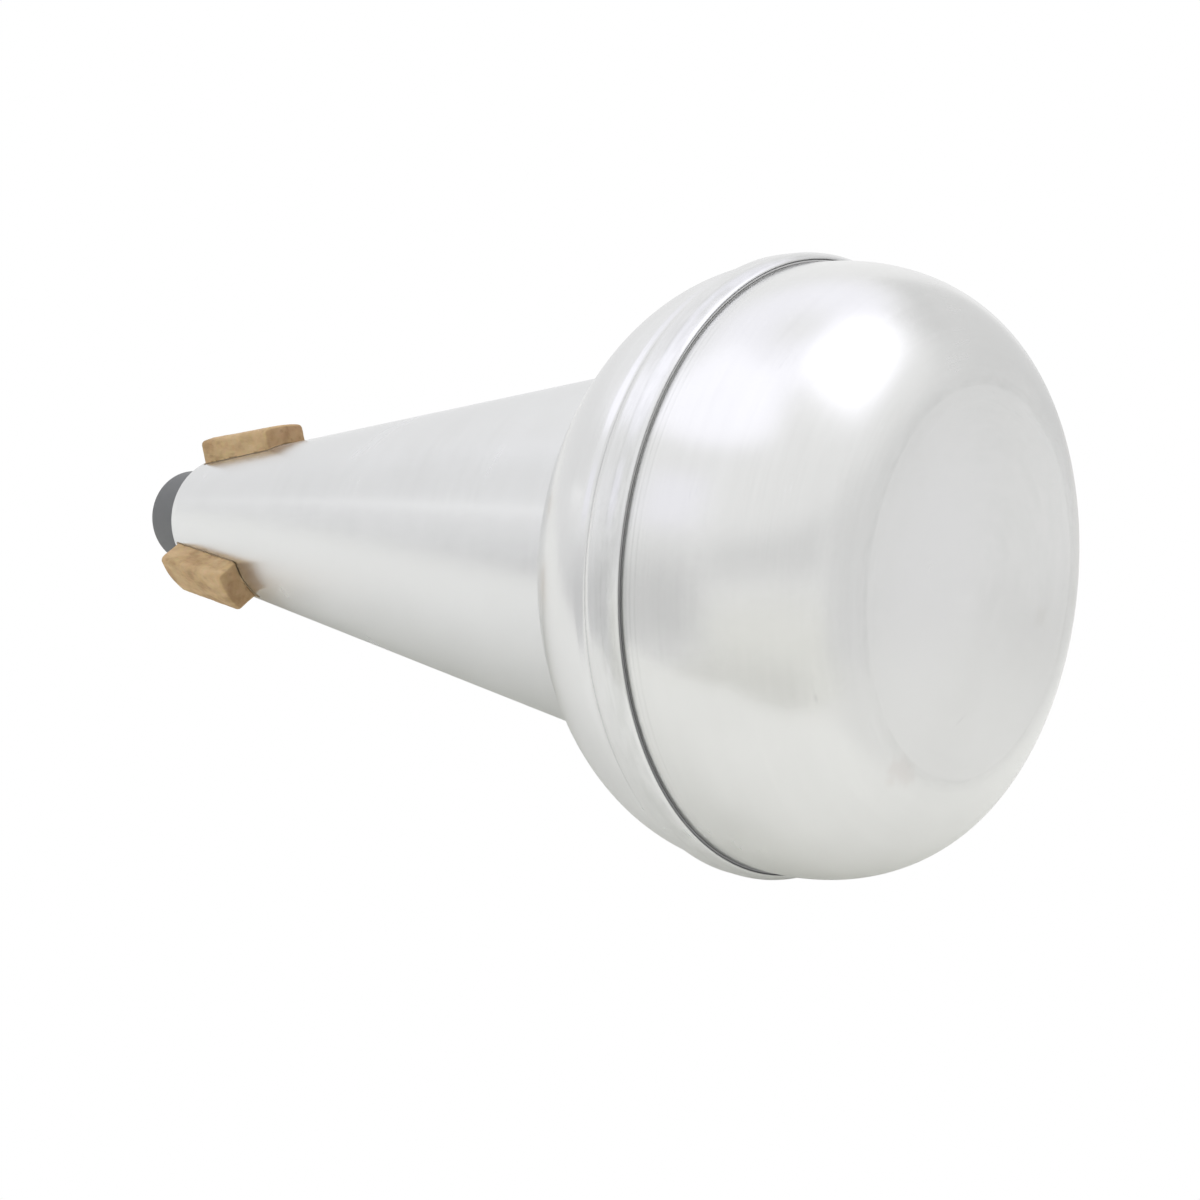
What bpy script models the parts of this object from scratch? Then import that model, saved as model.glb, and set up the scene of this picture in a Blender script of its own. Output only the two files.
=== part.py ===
"""Trombone straight mute: a spun aluminium body, a plastic throat nozzle and three cork strips.

The mute stands on its flat bottom at the origin, with +Z towards the narrow end that goes into the bell.
Every profile is a list of (radius, height) points, and lengths are in metres.
"""
from math import acos, asin, cos, radians, sin, sqrt, tan

import bmesh
import bpy

# Sheet and fits
WALL = 0.0008             # spun aluminium sheet
CLEARANCE = 0.0003        # between pieces that touch
ROUND_STEPS = 64          # divisions around the axis

# Divisions of the curves in the profiles
DOME_STEPS = 10
BEAD_STEPS = 5            # from the crown to the crease, and to the lip
SEAL_STEPS = 4
CUP_STEPS = 13
EDGE_STEPS = 3            # rounding of the nose's end

# Cone
METAL_HEIGHT = 0.2499     # flat bottom to the cone's narrow rim
TIP_RADIUS = 0.01866      # outside of the narrow rim
CONE_ANGLE = radians(7.0)  # side against the axis
CONE_TAIL = 0.004         # cone left below the neck collar, inside the body

# Shoulder: a rolled bead around the mouth, a crease above it and a dome up to the cone
BEAD_RADIUS = 0.0600      # crown of the bead, the widest place
BEAD_CURVE = 0.0060       # radius of the bead's section
GROOVE_DEPTH = 0.0020     # crease, below the crown
CREASE_HEIGHT = 0.0021    # from the crease up to where the dome starts
LIP_DEPTH = 0.0012        # lower end of the bead, below the crown
LIP_EDGE = 0.00025        # turned edge around the mouth
DOME_CURVE = 0.0293       # radius of the dome's section
DOME_INSET = 0.00105      # dome's widest place, below the crown
DOME_RISE = 0.0074        # centre of the dome's section above the mouth
COLLAR_DEPTH = 0.005      # neck collar, turned down inside along the cone

# Bottom cup
CUP_DEPTH = 0.0317        # flat bottom to the shoulder's mouth
DISC_RADIUS = 0.0349      # flat of the bottom
CUP_FULLNESS = 2.1        # power of the side's curve: 2 is an ellipse, and more is squarer
SEAM_GAP = 0.00075        # between the mouth and the cup's skirt

# Seal in the seam and adhesive under the neck
SEAL_EDGE = 0.00035       # thickness of the seal at its upper and lower ends
BOND_HEIGHT = 0.0020
BOND_FOOT = 0.0012        # width of the adhesive against the collar
BOND_TOE = 0.0005         # width of the adhesive at its lower end

# Throat nozzle
NOZZLE_RADIUS = 0.0143    # outside of the nose
NOZZLE_REACH = 0.0198     # nose beyond the metal rim
NOZZLE_WALL = 0.0020
NOZZLE_EDGE = 0.0007      # rounding of the nose's end
SPIGOT_DEPTH = 0.0140     # part that sits in the cone

# Corks, evenly spaced around the narrow end
CORK_COUNT = 3
CORK_LENGTH = 0.0370
CORK_START = 0.0022       # below the metal rim, along the cone
CORK_WIDTH = 0.0130
CORK_THICKNESS = 0.0054   # at the rim's end
CORK_TAPER = 0.0008       # thinner by this at the other end, sanded to fit the bell
CORK_EDGE = 0.0007        # rounding of the cork's edges
CORK_EDGE_STEPS = 2
CORK_EDGE_ANGLE = radians(40)  # edges sharper than this are rounded
GLUE_THICKNESS = 0.0003
GLUE_INSET = 0.0005       # glue film inside the cork's outline

# Values that follow
MOUTH_RADIUS = BEAD_RADIUS - LIP_DEPTH - LIP_EDGE
SKIRT_RADIUS = MOUTH_RADIUS - SEAM_GAP
BEAD_CENTRE = BEAD_RADIUS - BEAD_CURVE
BEAD_LIP_ANGLE = acos(1 - LIP_DEPTH / BEAD_CURVE)
BEAD_GROOVE_ANGLE = acos(1 - GROOVE_DEPTH / BEAD_CURVE)
BEAD_HEIGHT = CUP_DEPTH + BEAD_CURVE * sin(BEAD_LIP_ANGLE)
GROOVE_HEIGHT = BEAD_HEIGHT + BEAD_CURVE * sin(BEAD_GROOVE_ANGLE)
DOME_CENTRE = BEAD_RADIUS - DOME_INSET - DOME_CURVE
DOME_HEIGHT = CUP_DEPTH + DOME_RISE
CORK_SEAT = GLUE_THICKNESS + 2 * CLEARANCE


def arc(centre_r, centre_z, radius, start, end, steps):
    """Points of a round stretch, with angles in radians from the outward direction."""
    turn = (end - start) / steps
    angles = [start + turn * step for step in range(steps + 1)]
    return [(centre_r + radius * cos(angle), centre_z + radius * sin(angle)) for angle in angles]


def on_cone(slant, offset=0.0):
    """The point at a distance along the cone's side from its rim, and square off it by offset."""
    radius = TIP_RADIUS + slant * sin(CONE_ANGLE) + offset * cos(CONE_ANGLE)
    height = METAL_HEIGHT - slant * cos(CONE_ANGLE) + offset * sin(CONE_ANGLE)
    return radius, height


def at_height(height, offset=0.0):
    """The point of the cone's side at a height, or of a line parallel to the side at that offset."""
    radius = TIP_RADIUS + (METAL_HEIGHT - height) * tan(CONE_ANGLE) + offset / cos(CONE_ANGLE)
    return radius, height


def dome_angle_at_cone(dome_radius, offset):
    """Where an arc about the dome's centre meets the line that is parallel to the cone at offset."""
    tip = TIP_RADIUS * cos(CONE_ANGLE) + METAL_HEIGHT * sin(CONE_ANGLE)
    centre = DOME_CENTRE * cos(CONE_ANGLE) + DOME_HEIGHT * sin(CONE_ANGLE)
    return CONE_ANGLE + acos((tip + offset - centre) / dome_radius)


def make_material(name, colour, roughness, metallic=0.0):
    material = bpy.data.materials.new(name)
    material.use_nodes = True
    shader = material.node_tree.nodes["Principled BSDF"]
    shader.inputs["Base Color"].default_value = (*colour, 1.0)
    shader.inputs["Roughness"].default_value = roughness
    shader.inputs["Metallic"].default_value = metallic
    return material


def turned(name, profile, closed, material, collection):
    """A profile turned about Z. An open profile starts and ends on the axis."""
    mesh = bpy.data.meshes.new(name)
    shape = bmesh.new()
    points = [shape.verts.new((radius, 0.0, height)) for radius, height in profile]
    for first, second in zip(points, points[1:]):
        shape.edges.new((first, second))
    if closed:
        shape.edges.new((points[-1], points[0]))
    shape.to_mesh(mesh)
    shape.free()
    mesh.materials.append(material)
    piece = bpy.data.objects.new(name, mesh)
    collection.objects.link(piece)
    screw = piece.modifiers.new("turn", "SCREW")
    screw.axis = "Z"
    screw.angle = radians(360)
    screw.steps = ROUND_STEPS
    screw.render_steps = ROUND_STEPS
    screw.use_merge_vertices = True
    screw.merge_threshold = 0.00001
    screw.use_smooth_shade = True
    return piece


def make_cone(collection, material):
    """Rolled cone, open at both ends. Its wide end hangs inside the shoulder."""
    tail = collar_height() - CONE_TAIL
    profile = [
        at_height(METAL_HEIGHT),
        at_height(tail),
        at_height(tail, -WALL),
        at_height(METAL_HEIGHT, -WALL),
    ]
    return turned("cone_tube", profile, True, material, collection)


def collar_height():
    """Height of the collar's lower end."""
    neck = dome_angle_at_cone(DOME_CURVE, CLEARANCE)
    return DOME_HEIGHT + DOME_CURVE * sin(neck) - COLLAR_DEPTH


def make_shoulder(collection, material):
    """Spun dome with its collar, crease and rolled bead."""
    neck = dome_angle_at_cone(DOME_CURVE, CLEARANCE)
    inner_neck = dome_angle_at_cone(DOME_CURVE - WALL, CLEARANCE + WALL)
    foot = asin((GROOVE_HEIGHT + CREASE_HEIGHT - DOME_HEIGHT) / DOME_CURVE)
    groove_r = BEAD_RADIUS - GROOVE_DEPTH
    outer = arc(DOME_CENTRE, DOME_HEIGHT, DOME_CURVE, neck, foot, DOME_STEPS)
    outer += arc(BEAD_CENTRE, BEAD_HEIGHT, BEAD_CURVE, BEAD_GROOVE_ANGLE, 0.0, BEAD_STEPS)
    outer += arc(BEAD_CENTRE, BEAD_HEIGHT, BEAD_CURVE, 0.0, -BEAD_LIP_ANGLE, BEAD_STEPS)[1:]
    mouth = [(MOUTH_RADIUS, CUP_DEPTH + LIP_EDGE)]
    inside = BEAD_CURVE - WALL
    hollow = arc(BEAD_CENTRE, BEAD_HEIGHT, inside, -BEAD_LIP_ANGLE, BEAD_GROOVE_ANGLE, 2 * BEAD_STEPS)
    hollow = [(max(r, MOUTH_RADIUS) if z < BEAD_HEIGHT else r, z) for r, z in hollow]
    crease = [(groove_r - WALL, GROOVE_HEIGHT)]
    dome = arc(DOME_CENTRE, DOME_HEIGHT, DOME_CURVE - WALL, foot, inner_neck, DOME_STEPS)
    collar = [
        at_height(collar_height(), CLEARANCE + WALL),
        at_height(collar_height(), CLEARANCE),
    ]
    return turned("shoulder", outer + mouth + hollow + crease + dome + collar, True, material, collection)


def skirt_top():
    """The skirt ends below the crease, which stops it from going in too far."""
    reach = BEAD_CURVE - WALL - CLEARANCE
    return BEAD_HEIGHT + sqrt(reach ** 2 - (SKIRT_RADIUS - BEAD_CENTRE) ** 2)


def cup_side(inset):
    """The cup's side from the seam down to the flat, as a quarter of a full ellipse."""
    across = SKIRT_RADIUS - DISC_RADIUS - inset
    down = CUP_DEPTH - inset
    power = 2 / CUP_FULLNESS
    angles = [radians(90 * step / CUP_STEPS) for step in range(CUP_STEPS + 1)]
    return [(DISC_RADIUS + across * cos(a) ** power, CUP_DEPTH - down * sin(a) ** power) for a in angles]


def make_bottom_cup(collection, material):
    """Spun cup with a flat bottom, a full round side and a straight skirt that enters the shoulder."""
    profile = [(0.0, WALL)]
    profile += reversed(cup_side(WALL))
    profile += [(SKIRT_RADIUS - WALL, skirt_top())]
    profile += [(SKIRT_RADIUS, skirt_top())]
    profile += cup_side(0.0)
    profile += [(0.0, 0.0)]
    return turned("bottom_cup", profile, False, material, collection)


def make_seam_seal(collection, material):
    """Elastic ring between the skirt and the inside of the bead."""
    inner = SKIRT_RADIUS + CLEARANCE
    reach = BEAD_CURVE - WALL - CLEARANCE
    end = acos((inner + SEAL_EDGE - BEAD_CENTRE) / reach)
    outer = arc(BEAD_CENTRE, BEAD_HEIGHT, reach, end, -end, SEAL_STEPS)
    profile = outer + [(inner, outer[-1][1]), (inner, outer[0][1])]
    return turned("seam_seal", profile, True, material, collection)


def make_neck_bond(collection, material):
    """Adhesive ring on the cone, under the collar."""
    top = collar_height() - CLEARANCE
    profile = [
        at_height(top, CLEARANCE + BOND_FOOT),
        at_height(top - BOND_HEIGHT, CLEARANCE + BOND_TOE),
        at_height(top - BOND_HEIGHT, CLEARANCE),
        at_height(top, CLEARANCE),
    ]
    return turned("neck_bond", profile, True, material, collection)


def make_nozzle(collection, material):
    """Stepped plastic tube. Its spigot is pushed up inside the cone until it jams behind the rim."""
    bore = NOZZLE_RADIUS - NOZZLE_WALL
    nose = METAL_HEIGHT + NOZZLE_REACH
    step = METAL_HEIGHT - CLEARANCE
    spigot = METAL_HEIGHT - SPIGOT_DEPTH
    profile = arc(NOZZLE_RADIUS - NOZZLE_EDGE, nose - NOZZLE_EDGE, NOZZLE_EDGE, radians(90), 0.0, EDGE_STEPS)
    profile += [
        (NOZZLE_RADIUS, step),
        at_height(step, -WALL - CLEARANCE),
        at_height(spigot, -WALL - CLEARANCE),
        (bore, spigot),
        (bore, nose),
    ]
    return turned("throat_nozzle", profile, True, material, collection)


def cutter_box(name, reach, width, low, high, collection):
    """A box from the axis outwards, as wide as the strip that it leaves."""
    mesh = bpy.data.meshes.new(name)
    shape = bmesh.new()
    for across in (0.0, reach):
        for side in (-width / 2, width / 2):
            for height in (low, high):
                shape.verts.new((across, side, height))
    bmesh.ops.convex_hull(shape, input=shape.verts)
    bmesh.ops.recalc_face_normals(shape, faces=shape.faces)
    shape.to_mesh(mesh)
    shape.free()
    box = bpy.data.objects.new(name, mesh)
    box.hide_render = True
    box.display_type = "WIRE"
    collection.objects.link(box)
    return box


def cone_strip(name, start, length, width, offset, thickness, taper, angle, collections, material):
    """A strip of a ring around the cone, cut to its width by a box that clears its ends."""
    solids, cutters = collections
    profile = [
        on_cone(start, offset + thickness),
        on_cone(start + length, offset + thickness - taper),
        on_cone(start + length, offset),
        on_cone(start, offset),
    ]
    strip = turned(name, profile, True, material, solids)
    strip.rotation_euler.z = angle
    reach, foot = on_cone(start + length, offset + thickness)
    low, high = foot - length, METAL_HEIGHT + length
    box = cutter_box(name + "_cutter", reach + width, width, low, high, cutters)
    box.rotation_euler.z = angle
    trim = strip.modifiers.new("width", "BOOLEAN")
    trim.operation = "INTERSECT"
    trim.solver = "EXACT"
    trim.object = box
    return strip


def make_cork(number, collections, cork, glue):
    """One cork strip and the glue film under it."""
    angle = radians(360) * (number - 1) / CORK_COUNT
    cone_strip(
        f"cork_glue_{number}", CORK_START + GLUE_INSET, CORK_LENGTH - 2 * GLUE_INSET,
        CORK_WIDTH - 2 * GLUE_INSET, CLEARANCE, GLUE_THICKNESS, 0.0, angle, collections, glue)
    strip = cone_strip(
        f"cork_{number}", CORK_START, CORK_LENGTH,
        CORK_WIDTH, CORK_SEAT, CORK_THICKNESS, CORK_TAPER, angle, collections, cork)
    bevel = strip.modifiers.new("soften", "BEVEL")
    bevel.width = CORK_EDGE
    bevel.segments = CORK_EDGE_STEPS
    bevel.limit_method = "ANGLE"
    bevel.angle_limit = CORK_EDGE_ANGLE


def main():
    for thing in list(bpy.data.objects):
        bpy.data.objects.remove(thing)
    solids = bpy.data.collections.new("trombone_straight_mute")
    cutters = bpy.data.collections.new("cutters")
    bpy.context.scene.collection.children.link(solids)
    bpy.context.scene.collection.children.link(cutters)

    make_cone(solids, make_material("cone_aluminium", (0.74, 0.75, 0.76), 0.30, 1.0))
    make_shoulder(solids, make_material("shoulder_aluminium", (0.74, 0.75, 0.75), 0.28, 1.0))
    make_bottom_cup(solids, make_material("cup_aluminium", (0.76, 0.76, 0.74), 0.26, 1.0))
    make_seam_seal(solids, make_material("seal_rubber", (0.03, 0.03, 0.03), 0.80))
    make_neck_bond(solids, make_material("neck_adhesive", (0.42, 0.38, 0.28), 0.55))
    make_nozzle(solids, make_material("nozzle_plastic", (0.16, 0.165, 0.17), 0.50))

    cork = make_material("cork", (0.50, 0.33, 0.16), 0.85)
    glue = make_material("contact_adhesive", (0.20, 0.14, 0.07), 0.60)
    for number in range(1, CORK_COUNT + 1):
        make_cork(number, (solids, cutters), cork, glue)


main()
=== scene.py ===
"""Trombone straight mute, dressed as in the photograph: spun aluminium, natural cork, a dark throat nozzle.

It stands on its flat bottom with +Z towards the narrow end, in metres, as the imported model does.
"""
from math import acos, asin, cos, pi, radians, sin, sqrt, tan

import bmesh
import bpy
from mathutils import Matrix, Vector, noise


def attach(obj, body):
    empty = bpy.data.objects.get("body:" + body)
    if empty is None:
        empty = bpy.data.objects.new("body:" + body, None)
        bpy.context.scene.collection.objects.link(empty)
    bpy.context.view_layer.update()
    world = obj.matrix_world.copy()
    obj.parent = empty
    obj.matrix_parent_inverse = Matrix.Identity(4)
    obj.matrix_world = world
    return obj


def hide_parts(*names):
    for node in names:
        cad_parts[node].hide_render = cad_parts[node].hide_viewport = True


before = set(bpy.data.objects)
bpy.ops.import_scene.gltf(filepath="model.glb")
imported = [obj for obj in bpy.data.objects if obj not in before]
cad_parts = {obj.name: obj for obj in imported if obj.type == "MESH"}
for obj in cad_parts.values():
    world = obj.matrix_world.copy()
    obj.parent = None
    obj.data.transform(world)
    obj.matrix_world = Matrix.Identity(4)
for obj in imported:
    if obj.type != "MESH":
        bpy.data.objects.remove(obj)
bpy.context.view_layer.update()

# Cone tube
# The long tube of the mute: aluminium sheet spun to a slim cone, open at both ends, with fine turning
# lines around it. Its narrow rim is smoothed over, and its wide end is glued inside the body.

METAL_HEIGHT = 0.2499
TIP_RADIUS = 0.01866
CONE_ANGLE = radians(7.0)
SHEET = 0.0008
CONE_TAIL_HEIGHT = 0.05687
ROUND = 256
SAME_POINT = 1e-6
CONE_COLOUR = (0.745, 0.75, 0.755)


def cone_point(height, offset=0.0):
    """A point of the cone's outside at a height, or square off it by offset."""
    radius = TIP_RADIUS + (METAL_HEIGHT - height) * tan(CONE_ANGLE) + offset / cos(CONE_ANGLE)
    return radius, height


def arc(centre, radius, start, end, steps):
    """Points of a round stretch of a profile, with angles from the outward direction."""
    angles = [start + (end - start) * step / steps for step in range(steps + 1)]
    return [(centre[0] + radius * cos(angle), centre[1] + radius * sin(angle)) for angle in angles]


def straight(first, last, steps):
    """Points of a straight stretch of a profile, both ends in."""
    shares = [step / steps for step in range(steps + 1)]
    return [(first[0] + (last[0] - first[0]) * t, first[1] + (last[1] - first[1]) * t) for t in shares]


def link_piece(name, shape):
    """Turns a finished bmesh into an object in the scene."""
    mesh = bpy.data.meshes.new(name)
    shape.to_mesh(mesh)
    shape.free()
    piece = bpy.data.objects.new(name, mesh)
    bpy.context.scene.collection.objects.link(piece)
    return piece


def spin(name, profile, closed=True):
    """Spins a profile about Z. Its UV map is the turn across, and the metres along the profile up."""
    points = [profile[0]]
    for point in profile[1:]:
        if max(abs(point[0] - points[-1][0]), abs(point[1] - points[-1][1])) > SAME_POINT:
            points.append(point)
    if closed:
        points.append(points[0])
    run = [0.0]
    for before, after in zip(points, points[1:]):
        run.append(run[-1] + sqrt((after[0] - before[0]) ** 2 + (after[1] - before[1]) ** 2))
    shape = bmesh.new()
    turning = shape.loops.layers.uv.new("turning")
    rings = []
    for radius, height in points[:-1] if closed else points:
        if radius < SAME_POINT:
            rings.append([shape.verts.new((0.0, 0.0, height))] * ROUND)
        else:
            angles = [2 * pi * step / ROUND for step in range(ROUND)]
            rings.append([shape.verts.new((radius * cos(a), radius * sin(a), height)) for a in angles])
    if closed:
        rings.append(rings[0])
    for low in range(len(points) - 1):
        for step in range(ROUND):
            after = (step + 1) % ROUND
            corners = [
                (rings[low][step], step, run[low]),
                (rings[low + 1][step], step, run[low + 1]),
                (rings[low + 1][after], step + 1, run[low + 1]),
                (rings[low][after], step + 1, run[low]),
            ]
            if corners[0][0] is corners[3][0]:
                corners.pop(3)
            elif corners[1][0] is corners[2][0]:
                corners.pop(2)
            face = shape.faces.new([corner[0] for corner in corners])
            face.smooth = True
            for loop, corner in zip(face.loops, corners):
                loop[turning].uv = (corner[1] / ROUND, corner[2])
    bmesh.ops.recalc_face_normals(shape, faces=shape.faces)
    return link_piece(name, shape)


def node(tree, kind, inputs=(), **settings):
    """Adds a shader node. Each input is a number, a colour or the socket that feeds it."""
    made = tree.nodes.new("ShaderNode" + kind)
    for name, value in settings.items():
        setattr(made, name, value)
    for key, value in dict(inputs).items():
        if isinstance(value, bpy.types.NodeSocket):
            tree.links.new(value, made.inputs[key])
        else:
            made.inputs[key].default_value = value
    return made


def maths(tree, operation, first, second=0.0):
    """One step of arithmetic on two numbers or sockets."""
    return node(tree, "Math", {0: first, 1: second}, operation=operation).outputs[0]


def blend(tree, share, low, high):
    """Moves from low to high as share goes from 0 to 1."""
    return node(tree, "MapRange", {"Value": share, "To Min": low, "To Max": high}).outputs[0]


def ramp(tree, value, start, end, low=0.0, high=1.0, soft=False):
    """Moves from low to high as value goes from start to end, with soft ends or straight."""
    return node(tree, "MapRange", {
        "Value": value, "From Min": start, "From Max": end, "To Min": low, "To Max": high,
    }, interpolation_type="SMOOTHSTEP" if soft else "LINEAR").outputs[0]


def tint(tree, share, first, second, **settings):
    """Mixes two colours, each a colour or the socket that feeds it, from the first to the second."""
    sides = [one if isinstance(one, bpy.types.NodeSocket) else (*one, 1.0) for one in (first, second)]
    return node(tree, "Mix", {
        "Factor": share, "A": sides[0], "B": sides[1],
    }, data_type="RGBA", **settings).outputs[2]


def new_finish(name, rough, metal=0.0):
    """A new material, with its tree and its shader."""
    material = bpy.data.materials.new(name)
    material.use_nodes = True
    shader = material.node_tree.nodes["Principled BSDF"]
    shader.inputs["Roughness"].default_value = rough
    shader.inputs["Metallic"].default_value = metal
    return material, material.node_tree, shader


def dress(tree, shader, colour, rough, relief, strength, depth):
    """Gives a shader its colour, its roughness, and a bump of that relief, strength and depth."""
    tree.links.new(colour, shader.inputs["Base Color"])
    tree.links.new(rough, shader.inputs["Roughness"])
    bump = node(tree, "Bump", {"Strength": strength, "Distance": depth, "Height": relief})
    tree.links.new(bump.outputs[0], shader.inputs["Normal"])


def around_the_axis(tree, changes, lines):
    """Coordinates for lines that run around the piece: changes says how often a line changes on its way
    round, and lines how many there are in a metre."""
    uv = node(tree, "UVMap", uv_map="turning").outputs[0]
    parts = node(tree, "SeparateXYZ", {0: uv})
    angle = maths(tree, "MULTIPLY", parts.outputs[0], 2 * pi)
    across = maths(tree, "MULTIPLY", maths(tree, "COSINE", angle), changes)
    along = maths(tree, "MULTIPLY", maths(tree, "SINE", angle), changes)
    run = maths(tree, "MULTIPLY", parts.outputs[1], lines)
    return node(tree, "CombineXYZ", {0: across, 1: along, 2: run}).outputs[0]


def mark(tree, place, below, spot):
    """Rubs a scratch, a smudge or a lighter patch of painted light into the colour below. Its spot is the
    middle, the way it runs, its length and width, how ragged and how strong it is, and its colour."""
    solid_core = 0.2
    middle, way, length, width, ragged, strength, colour = spot
    turned = Vector(way).to_track_quat("X", "Z").to_euler()
    inside = node(tree, "Mapping", {
        "Vector": place, "Location": middle, "Rotation": turned, "Scale": (length / 2, width / 2, width / 2),
    }, vector_type="TEXTURE").outputs[0]
    away = node(tree, "VectorMath", {0: inside}, operation="LENGTH").outputs["Value"]
    torn = node(tree, "TexNoise", {"Vector": place, "Scale": 500.0, "Detail": 3.0}).outputs[0]
    away = maths(tree, "ADD", away, blend(tree, torn, -ragged, ragged))
    return tint(tree, ramp(tree, away, solid_core, 1.0, strength, 0.0, soft=True), below, colour)


def dulling_and_shade_ring(tree, below, measure, edge, width, strength):
    """Darkens a ring in the colour below, both for a dull ring that the lathe left and for painted shade
    along a crease or an edge. It starts at an edge, fades away over its width, and is worn off in places."""
    sharpness = 0.00025
    dull_and_shade_grey = (0.45, 0.46, 0.44)
    wear = node(tree, "TexNoise", {
        "Vector": around_the_axis(tree, changes=2.2, lines=160.0), "Detail": 3.0,
    }).outputs[0]
    left = ramp(tree, wear, 0.38, 0.6, low=0.3)
    rise = ramp(tree, measure, edge - sharpness, edge)
    fall = ramp(tree, measure, edge, edge + width, strength, 0.0, soft=True)
    share = maths(tree, "MULTIPLY", maths(tree, "MULTIPLY", rise, fall), left)
    return tint(tree, share, below, dull_and_shade_grey)


def spun_aluminium(name, colour, rough, spread, marks_and_painted_light=(), height_rings=(), disc_rings=()):
    """Bare aluminium off the spinning lathe: fine rings, uneven sheen, tiny nicks, and the smudges,
    scratches and darker rings that are given, some of them painted light and painted shade. Spread is how
    far reflections are drawn out across the lathe's lines."""
    duller, brighter = 0.93, 1.07
    lines_in_tone, patches_in_tone = 0.65, 0.35
    rougher_by_lines, rougher_by_patches = 0.035, 0.04
    nick_reach, nick_scarcity, nick_share = (0.05, 0.17), 0.72, 0.22
    dark_nick, bright_nick = (0.42, 0.42, 0.44), (0.97, 0.97, 0.99)
    fine_relief, wave_relief, relief_depth = 0.3, 6.0, 0.000006

    material, tree, shader = new_finish(name, rough, 1.0)
    place = node(tree, "TexCoord").outputs["Object"]
    fine = node(tree, "TexNoise", {
        "Vector": around_the_axis(tree, changes=3.0, lines=2600.0),
        "Scale": 1.0, "Detail": 2.0, "Roughness": 0.6,
    }).outputs[0]
    coarse = node(tree, "TexNoise", {
        "Vector": around_the_axis(tree, changes=1.0, lines=420.0),
        "Scale": 1.0, "Detail": 2.0, "Roughness": 0.6,
    }).outputs[0]
    cloud = node(tree, "TexNoise", {
        "Vector": place, "Scale": 38.0, "Detail": 4.0, "Roughness": 0.6, "Distortion": 0.6,
    }).outputs[0]
    nicks = node(tree, "TexVoronoi", {
        "Vector": around_the_axis(tree, changes=8.0, lines=1100.0), "Scale": 1.0, "Randomness": 1.0,
    }, feature="F1")
    chance = node(tree, "SeparateColor", {0: nicks.outputs["Color"]})
    nick = ramp(tree, nicks.outputs["Distance"], *nick_reach, low=1.0, high=0.0)
    nick = maths(tree, "MULTIPLY", nick, maths(tree, "GREATER_THAN", chance.outputs[1], nick_scarcity))
    nick_tone = tint(tree, chance.outputs[0], dark_nick, bright_nick)
    sheen = maths(tree, "ADD", maths(tree, "MULTIPLY", coarse, 0.5), maths(tree, "MULTIPLY", fine, 0.5))
    patch = ramp(tree, cloud, 0.3, 0.7)
    by_lines = blend(tree, sheen, -rougher_by_lines, rougher_by_lines)
    by_patches = blend(tree, patch, -rougher_by_patches, rougher_by_patches)
    uneven = maths(tree, "ADD", maths(tree, "ADD", by_lines, by_patches), rough)
    from_lines = blend(tree, sheen, 0.0, lines_in_tone)
    share = maths(tree, "ADD", from_lines, blend(tree, patch, 0.0, patches_in_tone))
    finish = tint(tree, share, [duller * part for part in colour], [brighter * part for part in colour])
    finish = tint(tree, maths(tree, "MULTIPLY", nick, nick_share), finish, nick_tone)
    for spot in marks_and_painted_light:
        finish = mark(tree, place, finish, spot)
    height = node(tree, "SeparateXYZ", {0: place}).outputs[2]
    for ring in height_rings:
        finish = dulling_and_shade_ring(tree, finish, height, *ring)
    flat = node(tree, "VectorMath", {0: place, 1: (1.0, 1.0, 0.0)}, operation="MULTIPLY").outputs[0]
    radius = node(tree, "VectorMath", {0: flat}, operation="LENGTH").outputs["Value"]
    for ring in disc_rings:
        finish = dulling_and_shade_ring(tree, finish, radius, *ring)
    waves = node(tree, "TexNoise", {
        "Vector": around_the_axis(tree, changes=0.8, lines=75.0),
        "Scale": 1.0, "Detail": 1.0, "Roughness": 0.5,
    }).outputs[0]
    relief = maths(tree, "ADD", maths(tree, "MULTIPLY", fine, fine_relief), coarse)
    relief = maths(tree, "ADD", relief, maths(tree, "MULTIPLY", waves, wave_relief))
    dress(tree, shader, finish, uneven, relief, 0.5, relief_depth)
    shader.inputs["Anisotropic"].default_value = spread
    shader.inputs["Anisotropic Rotation"].default_value = 0.25
    tangent = node(tree, "Tangent", direction_type="RADIAL", axis="Z")
    tree.links.new(tangent.outputs[0], shader.inputs["Tangent"])
    return material


rim = SHEET / 2
rim_centre = (cone_point(METAL_HEIGHT)[0] - rim / cos(CONE_ANGLE), METAL_HEIGHT - rim)
cone_profile = arc(rim_centre, rim, pi + CONE_ANGLE, CONE_ANGLE, 10)
cone_profile += straight(cone_profile[-1], cone_point(CONE_TAIL_HEIGHT), 48)[1:]
cone_profile += straight(cone_point(CONE_TAIL_HEIGHT, -SHEET), cone_profile[0], 24)[:-1]
cone = spin("cone", cone_profile)
cone.data.materials.append(spun_aluminium("spun cone aluminium", CONE_COLOUR, 0.24, 0.6))
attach(cone, "root")
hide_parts("cone_tube")

# Shoulder
# A spun aluminium dome that carries the cone. Its collar is turned down along the cone, and its mouth
# is finished with a crease, a rolled bead and a thin turned lip.

BEAD_RADIUS = 0.0600
BEAD_CURVE = 0.0060
BEAD_TOP = (0.05985, 0.0382)
BEAD_ROUNDING = 0.0009
BAND_BOTTOM = 0.0346
MOUTH_HEIGHT = 0.0317
LIP_DEPTH = 0.0012
LIP_EDGE = 0.00025
CREASE_DEPTH = 0.0020
CREASE = (0.05865, 0.0395)
CREASE_TOP = 0.0414
DOME_CURVE = 0.0293
DOME_CENTRE = (0.02965, 0.0391)
COLLAR_DEPTH = 0.005
COLLAR_GAP = 0.0003
NECK_EDGE = 0.0004
SHOULDER_COLOUR = (0.745, 0.748, 0.75)
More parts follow.
